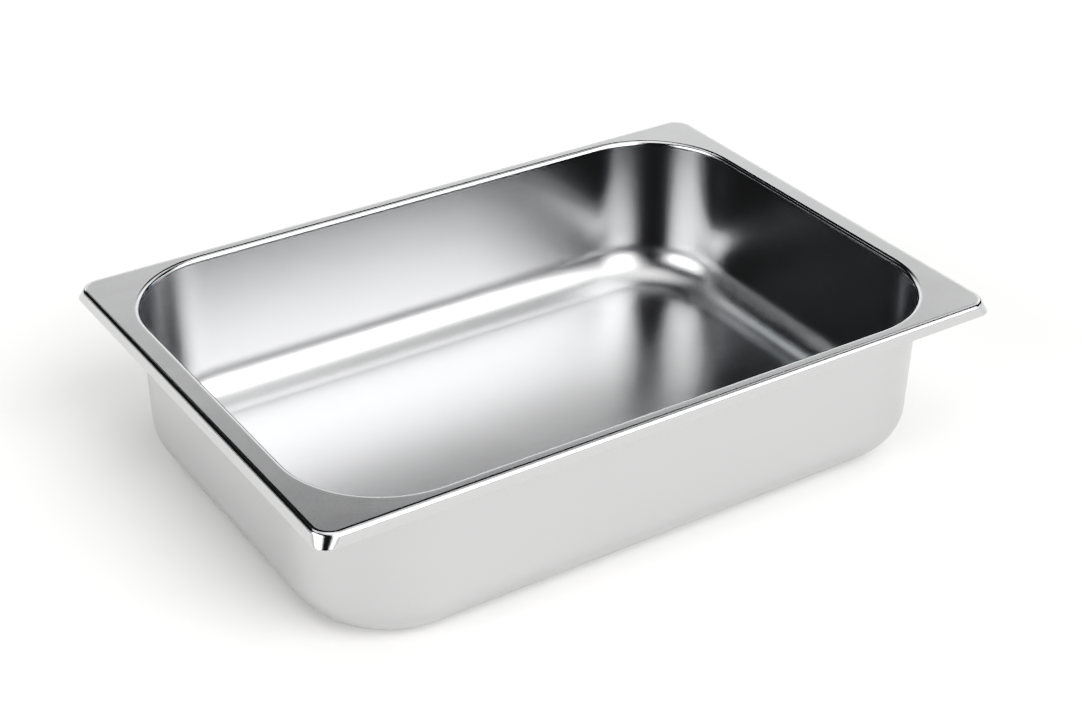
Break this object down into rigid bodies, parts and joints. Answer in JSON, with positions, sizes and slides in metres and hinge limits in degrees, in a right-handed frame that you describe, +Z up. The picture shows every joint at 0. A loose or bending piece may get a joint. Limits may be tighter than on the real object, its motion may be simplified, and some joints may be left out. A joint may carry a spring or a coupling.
{
  "type": "food pan",
  "caption": "Rectangular deep-drawn steel display pan with a tapered round-cornered basin and a flat flange with a turned-down skirt.",
  "frame": {"origin": "centre of the underside of the base, on the surface that the pan stands on", "axes": "+X along the long side, +Y along the short side, +Z up out of the basin"},
  "size_m": [0.3598, 0.2498, 0.08],
  "materials": {
    "stainless_sheet": "satin, with the bends polished"
  },
  "bodies": {
    "root": {"pan": "stainless_sheet"}
  },
  "joints": []
}
